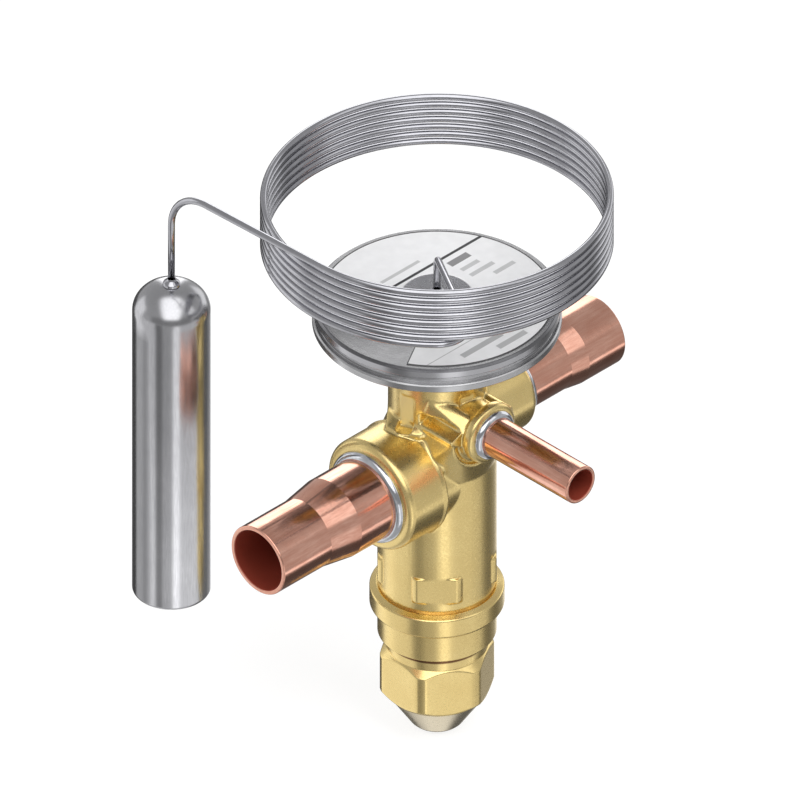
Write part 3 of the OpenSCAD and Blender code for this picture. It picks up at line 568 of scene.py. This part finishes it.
# Body: the forging's blends come from a fine remesh of its own solid
BODY_GRID, QUICK_GRID = 0.22, 0.45
SMOOTH_PASSES, COARSE_PASSES = 12, 4
FORGED_PULL, COARSE_PULL = 0.5, 0.22
MOST_TRIANGLES = 190000


def rise(value, start, width=1.0):
    """0 up to the start, then an even rise to 1 over the width."""
    return np.clip((value - start) / width, 0.0, 1.0)


def forged_share(points):
    """1 on the forged middle of the body, 0 on its turned neck, barrel and bosses."""
    x, y, z = points[:, 0] - AXIS_X, points[:, 1], points[:, 2]
    above_barrel, below_neck = rise(z, 1.2, 1.6), rise(-z, -21.6)
    behind_inlet, before_outlet, behind_equaliser = rise(x, -9.6), rise(-x, -14.2), rise(y, -12.8)
    return above_barrel * below_neck * behind_inlet * before_outlet * behind_equaliser


def evaluated_mesh(work):
    """Mesh of a working object with its modifier, after which the object is removed."""
    made = bpy.data.meshes.new_from_object(work.evaluated_get(bpy.context.evaluated_depsgraph_get()))
    bpy.data.objects.remove(work)
    return made


def thinned(mesh, most):
    """The mesh with its triangles collapsed to no more than the given count."""
    mesh.calc_loop_triangles()
    count = len(mesh.loop_triangles)
    if count <= most:
        return mesh
    work = placed("thin_work", mesh)
    collapse = work.modifiers.new("collapse", "DECIMATE")
    collapse.ratio = most / count
    return evaluated_mesh(work)


def remeshed(source):
    """The solid in millimetres, as an even grid of small faces."""
    mesh = source.data.copy()
    mesh.materials.clear()
    mesh.transform(Matrix.Scale(1 / MM, 4))
    work = placed("body_work", mesh)
    remesh = work.modifiers.new("remesh", "REMESH")
    remesh.mode = "VOXEL"
    remesh.voxel_size = BODY_GRID
    remesh.adaptivity = 0.0
    return evaluated_mesh(work)


def softened(mesh):
    """Draws each point towards its neighbours: everywhere in the first passes, then on the forging only."""
    points = np.zeros(len(mesh.vertices) * 3)
    mesh.vertices.foreach_get("co", points)
    points = points.reshape(-1, 3)
    edges = np.zeros(len(mesh.edges) * 2, int)
    mesh.edges.foreach_get("vertices", edges)
    edges = edges.reshape(-1, 2)
    degree = np.bincount(edges.ravel(), minlength=len(points))[:, None]
    pull = (FORGED_PULL * forged_share(points))[:, None]
    for step in range(SMOOTH_PASSES):
        total = np.zeros_like(points)
        for axis in range(3):
            total[:, axis] = np.bincount(edges[:, 0], points[edges[:, 1], axis], len(points))
            total[:, axis] += np.bincount(edges[:, 1], points[edges[:, 0], axis], len(points))
        strength = np.maximum(pull, COARSE_PULL) if step < COARSE_PASSES else pull
        points += strength * (total / degree - points)
    mesh.vertices.foreach_set("co", (points * MM).ravel())
    return mesh


def forged_body():
    made = thinned(softened(remeshed(nodes["valve_body"])), MOST_TRIANGLES)
    made.materials.clear()
    made.materials.append(forged_brass)
    made.shade_smooth()
    made.name = "body_forging"
    stands_for(placed("body_forging", made), "valve_body")


forged_body()

# Tubes and brazed joints
TUBE_ROUND, MOUTH_ROUND, BORE_ROUND = 0.5, 0.25, 0.15


def tube(name, node, stations, place, material):
    """Drawn tube from (distance, outer radius, inner radius) stations. The last one is its mouth."""
    outer = [(station[1], station[0]) for station in stations]
    inner = [(station[2], station[0]) for station in reversed(stations)]
    last = len(stations) - 1
    outline = []
    for i, (radius, height) in enumerate(outer):
        if i == 0 or (radius, height) != outer[i - 1]:
            outline.append((radius, height, MOUTH_ROUND if i == last else TUBE_ROUND))
    for i, (radius, height) in enumerate(inner):
        outline.append((radius, height, MOUTH_ROUND if i == 0 else BORE_ROUND))
    stands_for(lathe(name, rounded(outline), place, material), node)


INLET_TUBE_R, OUTLET_TUBE_R, EQUALISER_TUBE_R, SOCKET_R = 8.45, 6.75, 4.0, 7.35
tube(
    "inlet_tube_drawn",
    "inlet_tube",
    [
        (10.8, INLET_TUBE_R, 7.45), (29.0, INLET_TUBE_R, 7.45), (34.8, 7.564, 6.0),
        (36.2, SOCKET_R, 6.0), (36.2, SOCKET_R, FLOW_BORE_R), (49.2, SOCKET_R, FLOW_BORE_R),
    ],
    ALONG_INLET,
    copper_inlet,
)
tube(
    "outlet_tube_drawn",
    "outlet_tube",
    [
        (10.9, OUTLET_TUBE_R, 5.8), (30.4, OUTLET_TUBE_R, 5.8),
        (34.6, SOCKET_R, FLOW_BORE_R), (44.5, SOCKET_R, FLOW_BORE_R),
    ],
    ALONG_OUTLET,
    copper_outlet,
)
tube(
    "equaliser_tube_drawn",
    "equaliser_tube",
    [
        (9.5, EQUALISER_TUBE_R, 2.8), (30.5, EQUALISER_TUBE_R, 2.8),
        (30.5, EQUALISER_TUBE_R, EQUALISER_BORE_R), (39.5, EQUALISER_TUBE_R, EQUALISER_BORE_R),
    ],
    ALONG_EQUALISER,
    copper_equaliser,
)


def bead(name, node, tube_radius, bead_radius, reach, place):
    """Quarter-round fillet of solder where a tube enters its boss."""
    points = []
    for degrees in range(0, 91, 9):
        angle = math.radians(degrees)
        points.append((tube_radius + bead_radius * math.sin(angle), reach + bead_radius * math.cos(angle)))
    points.append((tube_radius, reach))
    stands_for(lathe(name, points, place, braze_metal), node)


bead("inlet_bead", "inlet_braze_ring", INLET_TUBE_R, 1.3, 18.8, ALONG_INLET)
bead("outlet_bead", "outlet_braze_ring", OUTLET_TUBE_R, 1.3, 18.9, ALONG_OUTLET)
bead("equaliser_bead", "equaliser_braze_ring", EQUALISER_TUBE_R, 1.2, 15.5, ALONG_EQUALISER)

# Diaphragm head
HEAD_SEGMENTS = 240


def lower_cover():
    outline = [
        (8.0, 29.5, 0), (12.5, 29.5, 0.8), (15.6, 32.3, 0.8), (24.0, 32.3, 0.3), (24.3, 32.6, 0.2),
        (24.3, 33.8, 0.2), (24.0, 34.1, 0.3), (23.3, 34.1, 0.1), (23.3, 34.7, 0), (17.5, 34.7, 0),
        (15.8, 33.3, 0.5), (12.2, 30.4, 0.5), (8.0, 30.4, 0),
    ]
    made = lathe("lower_cover", rounded(outline), AT_VALVE, head_steel, HEAD_SEGMENTS)
    stands_for(made, "lower_head_cover")


def upper_cover():
    outline = [
        (CAPILLARY_HOLE_R, 36.2, 0), (16.0, 36.2, 0.2), (17.5, 35.4, 0.2), (17.5, 34.9, 0),
        (23.3, 34.9, 0), (23.3, 35.5, 0.1), (23.8, 35.5, 0.3), (24.1, 35.8, 0.2), (24.1, 37.15, 0.2),
        (23.65, HEAD_TOP, 0.2), (23.45, HEAD_TOP, 0), (7.4, HEAD_TOP, 0), (7.1, HEAD_TOP, 0.15),
        (7.1, 38.6, 0.15), (6.8, DISC_TOP, 0.3), (CAPILLARY_HOLE_R, DISC_TOP, 0),
    ]
    made = lathe("upper_cover", rounded(outline), AT_VALVE, upper_steel, HEAD_SEGMENTS)
    stands_for(made, "upper_head_cover")


lower_cover()
upper_cover()


# Setting housing and seal cap
def setting_collar():
    bore, o_ring_r, pocket_r = 2.55, 4.05, 4.8
    outline = [
        (4.3, -25.3, 0), (8.5, -25.3, 0.1), (8.5, -29.3, 0), (11.9, -29.3, 0.1), (13.15, -29.9, 0.5),
        (13.15, -33.7, 0.5), (12.55, -34.3, 0.3), (11.6, -34.3, 0.3), (11.6, -40.6, 0.25),
        (8.2, -40.6, 0), (8.2, -45.4, 0.1), (7.6, -46.0, 0.1), (pocket_r, -46.0, 0),
        (pocket_r, -40.6, 0), (bore, -40.6, 0), (bore, -34.45, 0), (o_ring_r, -34.45, 0),
        (o_ring_r, -32.95, 0), (bore, -32.95, 0), (bore, -27.4, 0), (4.3, -27.4, 0),
    ]
    made = lathe("setting_collar", rounded(outline), AT_VALVE, turned_brass, 200)
    stands_for(made, "setting_housing")


setting_collar()

CAP_TURN = math.radians(58.7)
CAP_SEGMENTS = 432
HEX_TOP, HEX_BOTTOM = -43.9, -54.8
HEX_SIDE = math.radians(60)
HEX_FLAT_R, HEX_CORNER_R = 10.2, 11.3
HEX_SOFTNESS = 0.10
HEX_ROWS = 78
CHAMFER_HEIGHT = 1.4
NECK_R, NOSE_R = 9.9, 9.7
INSIDE_R = 9.0
NEAR = 0.01


def hexagon(radius, height, angle):
    """Radius of the cap: the turned outline cut by the six flats, with a small round between them."""
    if not (HEX_BOTTOM - NEAR <= height <= HEX_TOP + NEAR) or radius < INSIDE_R:
        return radius
    away = (angle - CAP_TURN + HEX_SIDE / 2) % HEX_SIDE - HEX_SIDE / 2
    flat = HEX_FLAT_R / math.cos(away)
    return 0.5 * (radius + flat - math.sqrt((radius - flat) ** 2 + HEX_SOFTNESS**2))


def cap_side():
    """Rows of the hexagon's height, with its corners chamfered at both ends."""
    points = []
    for i in range(HEX_ROWS + 1):
        height = HEX_TOP + (HEX_BOTTOM - HEX_TOP) * i / HEX_ROWS
        top = NECK_R + (HEX_CORNER_R - NECK_R) * (HEX_TOP - height) / CHAMFER_HEIGHT
        bottom = NOSE_R + (HEX_CORNER_R - NOSE_R) * (height - HEX_BOTTOM) / CHAMFER_HEIGHT
        points.append((min(HEX_CORNER_R, top, bottom), height))
    return points


def seal_cap():
    hollow = [
        (0, -49.5), (3.9, -49.5), (4.0, -49.4), (4.0, -46.9), (4.1, -46.8), (8.15, -46.8), (8.25, -46.7),
    ]
    neck = [
        (8.25, -41.2), (8.32, -41.05), (8.45, -41.0), (9.65, -41.0), (9.82, -41.07),
        (NECK_R, -41.25), (NECK_R, -43.75), (NECK_R, -43.87),
    ]
    outline = [
        (0, HEX_BOTTOM, 0), (NOSE_R, HEX_BOTTOM, 0), (5.4, -61.4, 0.5), (4.8, -62.0, 0.5), (0, -62.0, 0),
    ]
    nose = [point for point in rounded(outline) if point[1] < HEX_BOTTOM - NEAR]
    points = hollow + neck + cap_side() + nose
    made = lathe("seal_cap_hexagon", points, AT_VALVE, cap_brass, CAP_SEGMENTS, hexagon)
    stands_for(made, "seal_cap", "seal_cap")


seal_cap()

# Capillary, with the same route as in the part's source
COIL_R, COIL_PITCH, COIL_TURNS = 33.7, 1.74, 7
COIL_HEIGHT, COIL_START = 50.6, 225.0
ENTRY_BEND, RISER_BEND, BULB_BEND = 6.0, 1.6, 9.0
POINTS_A_TURN = 144
UP = np.array([0.0, 0.0, 1.0])


def cosine_and_sine(degrees):
    return math.cos(math.radians(degrees)), math.sin(math.radians(degrees))


def level_way(degrees):
    return np.array([*cosine_and_sine(degrees), 0.0])


def capillary_route():
    """Centre line from the valve's axis: riser, entry bend, coil, lead and bend down to the bulb."""
    polar = 180 - math.degrees(math.atan(BULB_BACK / BULB_LEFT))
    distance = math.hypot(BULB_LEFT, BULB_BACK)
    finish = polar + math.degrees(math.acos(COIL_R / distance))
    sweep = 360 * COIL_TURNS + COIL_START - finish
    rise_of_coil = COIL_PITCH * sweep / 360
    leg = COIL_START + math.degrees(math.asin(ENTRY_BEND / (COIL_R - ENTRY_BEND)))
    leg_height = COIL_HEIGHT - 3

    points = [UP * (HEAD_TOP - 1), UP * (leg_height - RISER_BEND)]
    for degrees in range(10, 100, 10):
        cosine, sine = cosine_and_sine(degrees)
        outwards = RISER_BEND * (1 - cosine) * level_way(leg)
        points.append(outwards + UP * (leg_height - RISER_BEND * (1 - sine)))
    entry_centre = (COIL_R - ENTRY_BEND) * level_way(COIL_START)
    for i in range(17):
        degrees = leg + 90 - i / 16 * (leg + 90 - COIL_START)
        points.append(entry_centre + ENTRY_BEND * level_way(degrees) + UP * COIL_HEIGHT)
    count = math.ceil(POINTS_A_TURN * sweep / 360)
    for i in range(1, count + 1):
        around = COIL_R * level_way(COIL_START - sweep * i / count)
        points.append(around + UP * (COIL_HEIGHT + rise_of_coil * i / count))
    exit_point = COIL_R * level_way(finish) + UP * (COIL_HEIGHT + rise_of_coil)
    cosine, sine = cosine_and_sine(finish)
    lead = np.array([sine, -cosine, 0.0])
    lead_length = math.sqrt(distance**2 - COIL_R**2) - BULB_BEND
    for degrees in range(0, 95, 5):
        cosine, sine = cosine_and_sine(degrees)
        points.append(exit_point + (lead_length + BULB_BEND * sine) * lead + UP * (BULB_BEND * (cosine - 1)))
    points.append(np.array([-BULB_LEFT, BULB_BACK, BULB_TOP + BULB_DOME - 1]))
    return np.array(points)


def capillary():
    made = swept("capillary_coil", capillary_route(), CAPILLARY_R, 24, capillary_steel)
    stands_for(made, "capillary_tube")


def bulb():
    """Hollow steel bulb with a domed top, open only where the capillary enters."""
    wall, foot_wall, foot_round = 0.8, 0.8, 0.8
    barrel = [(0, BULB_FOOT, 0), (BULB_R, BULB_FOOT, foot_round), (BULB_R, BULB_TOP, 0), (0, BULB_TOP, 0)]
    foot = rounded(barrel, 8)
    points = [foot[0]] + [point for point in foot[1:] if point[1] < BULB_TOP - 1 and point[0] > 1.0]
    points.append((BULB_R, BULB_TOP - 0.5))
    for degrees in range(90, 6, -3):
        cosine, sine = cosine_and_sine(degrees)
        points.append((BULB_R * sine, BULB_TOP + BULB_DOME * cosine))
    points += [(0.8, BULB_TOP + 6.1), (CAPILLARY_HOLE_R, BULB_TOP + 6.05)]
    points += [(CAPILLARY_HOLE_R, BULB_TOP + 5.2), (2.0, BULB_TOP + 5.1), (6.8, BULB_TOP)]
    points += [(BULB_R - wall, BULB_TOP - 0.1), (BULB_R - wall, BULB_FOOT + foot_wall)]
    points.append((0, BULB_FOOT + foot_wall))
    stands_for(lathe("bulb_shell", points, AT_BULB, bulb_steel, 192), "bulb")


def collar(name, node, place, height):
    """Small cone of solder where the capillary enters the head or the bulb."""
    outline = [
        (CAPILLARY_HOLE_R, 0, 0), (1.75, 0, 0), (1.65, 0.5, 0.3), (0.95, 1.1, 0.4), (0.85, 1.4, 0.05),
        (CAPILLARY_HOLE_R, 1.4, 0),
    ]
    there = place @ Matrix.Translation((0, 0, height))
    stands_for(lathe(name, rounded(outline), there, capillary_steel, 64), node)


capillary()
bulb()
collar("head_collar", "head_capillary_collar", AT_VALVE, DISC_TOP)
collar("bulb_collar", "bulb_capillary_collar", AT_BULB, 39.8)

# Superheat spring, built as two halves
SPRING_TOP, SPRING_BOTTOM = -7.024, -20.524
SPRING_WIRE, SPRING_D, SPRING_TURNS = 1.3, 9.2, 7
SPRING_SPLIT = 4.0
SPRING_GAP = 0.1
STEPS_A_TURN = 48


def spring_height(turn):
    """Height of the wire's middle after so many turns: one close turn at each end, even ones between."""
    low = SPRING_BOTTOM + SPRING_WIRE / 2 + SPRING_GAP
    high = SPRING_TOP - SPRING_WIRE / 2 - SPRING_GAP
    close = 1.1 * SPRING_WIRE
    if turn < 1:
        return low + turn * close
    if turn > SPRING_TURNS - 1:
        return high - (SPRING_TURNS - turn) * close
    return low + close + (turn - 1) * (high - low - 2 * close) / (SPRING_TURNS - 2)


def spring_part(name, first, last):
    """Turns of the spring from the first to the last, round the valve's axis; the node that they stand for is
    hidden.
    """
    route = []
    for i in range(round((last - first) * STEPS_A_TURN) + 1):
        turn = first + i / STEPS_A_TURN
        angle = 2 * math.pi * turn
        route.append((SPRING_D / 2 * math.cos(angle), SPRING_D / 2 * math.sin(angle), spring_height(turn)))
    made = swept(name, np.array(route), SPRING_WIRE / 2, 16, inner_steel)
    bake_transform(made)
    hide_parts("superheat_spring")


spring_part("spring_lower_turns", 0, SPRING_SPLIT)
spring_part("spring_upper_turns", SPRING_SPLIT, SPRING_TURNS)

# Nodes that keep their own solids
for name in ("inlet_strainer", "spring_guide", "seal_retainer", "spring_seat", "spindle_gland_nut"):
    keep_node(name, inner_brass)
for name in ("orifice_seat", "valve_cone", "push_rod", "thrust_pad", "diaphragm", "setting_spindle"):
    keep_node(name, inner_steel)
for name in ("push_rod_seal", "spindle_o_ring"):
    keep_node(name, seal_rubber)
for name in ("housing_washer", "cap_washer"):
    keep_node(name, washer_copper)
keep_node("head_label", label_foil)

# Stage, light and camera, in metres
FLOOR_HALF, FLOOR_Z = 3.0, -0.0625
FLOOR_GLOW = 0.78
ROOM_LIGHT = 0.62
LOOKED_AT = Vector((0.045, 0.0, 0.0))


def choice(tree, question, if_no, if_yes):
    return add(tree, "MixShader", {0: question, 1: if_no.outputs[0], 2: if_yes.outputs[0]})


def floor_paint():
    """White to the camera with the object's shadow, clear to glossy rays and from below."""
    material = bpy.data.materials.new("floor_white")
    material.use_nodes = True
    tree = material.node_tree
    tree.nodes.clear()
    path = add(tree, "LightPath")
    white = add(tree, "Emission", {"Color": grey(1), "Strength": FLOOR_GLOW})
    paint = add(tree, "BsdfDiffuse", {"Color": grey(0.3)})
    seen = add(tree, "AddShader", {0: white.outputs[0], 1: paint.outputs[0]})
    bounce = add(tree, "BsdfDiffuse", {"Color": grey(0.7)})
    clear = add(tree, "BsdfTransparent")
    from_below = add(tree, "NewGeometry").outputs["Backfacing"]
    surface = choice(tree, path.outputs["Is Camera Ray"], bounce, seen)
    surface = choice(tree, path.outputs["Is Glossy Ray"], surface, clear)
    surface = choice(tree, from_below, surface, clear)
    add(tree, "OutputMaterial", {"Surface": surface.outputs[0]})
    return material


def stage_floor():
    half = FLOOR_HALF
    corners = [(-half, -half, FLOOR_Z), (half, -half, FLOOR_Z), (half, half, FLOOR_Z), (-half, half, FLOOR_Z)]
    floor = mesh_object("floor", corners, [(0, 1, 2, 3)], floor_paint(), smooth=False)


# Bright and dark cards round the studio: azimuth and elevation in degrees, half width and half height as
# tangents, soft edge, brightness. Azimuth 0 is the photograph's camera side and grows to its right.
CARDS = [
    # Dark front, top box, window behind, two side boxes and a dark strip under the window
    (0, 12, 1.6, 0.3, 0.12, 0.3),
    (0, 61, 0.5, 0.8, 0.2, 2.0),
    (180, 13, 0.2, 0.33, 0.05, 2.4),
    (135, 6, 0.35, 0.3, 0.1, 1.2),
    (-110, 0, 0.36, 0.45, 0.1, 1.2),
    (180, -16, 0.5, 0.13, 0.05, 0.25),
    # Below the horizon: the stripes that upright round metal mirrors
    (-70, -33, 0.6, 0.5, 0.1, 0.8),
    (-113, -33, 0.3, 0.5, 0.07, 1.08),
    (-154, -33, 0.43, 0.5, 0.05, 0.09),
    (-36, -33, 0.17, 0.5, 0.07, 0.22),
    (-13, -33, 0.2, 0.5, 0.06, 0.48),
    (44, -33, 0.45, 0.5, 0.1, 0.74),
    (14, -33, 0.14, 0.5, 0.06, 1.3),
    (70, -33, 0.1, 0.5, 0.06, 0.78),
    (91, -33, 0.12, 0.5, 0.06, 0.4),
    (117, -33, 0.24, 0.5, 0.08, 0.16),
    (112, -54, 0.5, 0.26, 0.06, 0.1),
    (84, -31, 0.14, 0.06, 0.03, 1.3),
    (143, -33, 0.14, 0.5, 0.06, 0.3),
    (168, -34, 0.2, 0.14, 0.05, 1.05),
    # Smaller patches further down, and a high box at the right
    (153, -60, 0.36, 0.26, 0.08, 0.12),
    (-163, -47, 0.28, 0.16, 0.06, 0.12),
    (0, -70, 0.7, 0.3, 0.1, 0.42),
    (178, -78, 0.22, 0.17, 0.08, 0.9),
    (68, 47, 0.24, 0.42, 0.08, 1.15),
]
CAMERA_SIDE = 225


def card_share(tree, way, azimuth, elevation, half_width, half_height, soft):
    """Share of a card that is seen in the direction way."""
    turn, lift = math.radians(CAMERA_SIDE + azimuth), math.radians(elevation)
    front = Vector((math.cos(turn) * math.cos(lift), math.sin(turn) * math.cos(lift), math.sin(lift)))
    side = Vector((-math.sin(turn), math.cos(turn), 0))
    facing = vector_math(tree, "DOT_PRODUCT", way, front)
    mask = math_node(tree, "GREATER_THAN", facing, 0.02)
    safe = math_node(tree, "MAXIMUM", facing, 0.02)
    for axis, half in ((side, half_width), (front.cross(side), half_height)):
        off = math_node(tree, "DIVIDE", vector_math(tree, "DOT_PRODUCT", way, axis), safe)
        off = math_node(tree, "ABSOLUTE", off)
        mask = times(tree, mask, span(tree, off, half - soft, half + soft, 1.0, 0.0, True))
    return mask


def studio_world():
    """Pale room that lights the object, the studio that its metal mirrors, and a white background."""
    world = bpy.data.worlds.new("studio")
    bpy.context.scene.world = world
    world.use_nodes = True
    tree = world.node_tree
    tree.nodes.clear()
    way = add(tree, "TexCoord").outputs["Generated"]
    path = add(tree, "LightPath")
    up = add(tree, "SeparateXYZ", {0: way}).outputs[2]
    level = span(tree, up, -1.0, 1.0, 0.64, 0.42)
    for *shape, brightness in CARDS:
        away = math_node(tree, "SUBTRACT", brightness, level)
        level = math_node(tree, "ADD", level, times(tree, away, card_share(tree, way, *shape)))
    room = add(tree, "Background", {"Color": grey(1), "Strength": ROOM_LIGHT})
    studio = add(tree, "Background", {"Color": grey(1), "Strength": level})
    white = add(tree, "Background", {"Color": grey(1), "Strength": 1.0})
    surface = choice(tree, path.outputs["Is Glossy Ray"], room, studio)
    surface = choice(tree, path.outputs["Is Camera Ray"], surface, white)
    add(tree, "OutputWorld", {"Surface": surface.outputs[0]})


def facing_way(piece, way):
    piece.rotation_mode = "QUATERNION"
    piece.rotation_quaternion = way.to_track_quat("-Z", "Y")


def area_light(name, way, distance, size, power):
    data = bpy.data.lights.new(name, "AREA")
    data.shape = "SQUARE"
    data.size = size
    data.energy = power
    lamp = placed(name, data)
    lamp.location = LOOKED_AT + Vector(way).normalized() * distance
    facing_way(lamp, LOOKED_AT - lamp.location)
    lamp.visible_camera = False
    lamp.visible_glossy = False


def make_camera():
    """Camera of the photograph: no perspective, and equal angles to the three axes."""
    back = Vector((-1, -1, 1)).normalized()
    right = Vector((1, -1, 0)).normalized()
    up = back.cross(right)
    shift_right, shift_up, distance = -0.007184, 0.011107, 0.6
    data = bpy.data.cameras.new("camera")
    data.type = "ORTHO"
    data.ortho_scale = 0.15534
    data.clip_start, data.clip_end = 0.01, 10.0
    camera = placed("camera", data)
    aim = Vector((AXIS_X * MM, 0, 0)) + right * shift_right + up * shift_up
    camera.location = aim + back * distance
    facing_way(camera, -back)
    bpy.context.scene.camera = camera


stage_floor()
studio_world()
area_light("key_box", (0.1, -0.9, 1.3), 0.7, 0.5, 3.0)
area_light("fill_box", (-1.0, 0.3, 0.9), 0.8, 0.5, 1.6)
make_camera()
bpy.context.scene.view_settings.view_transform = "Standard"
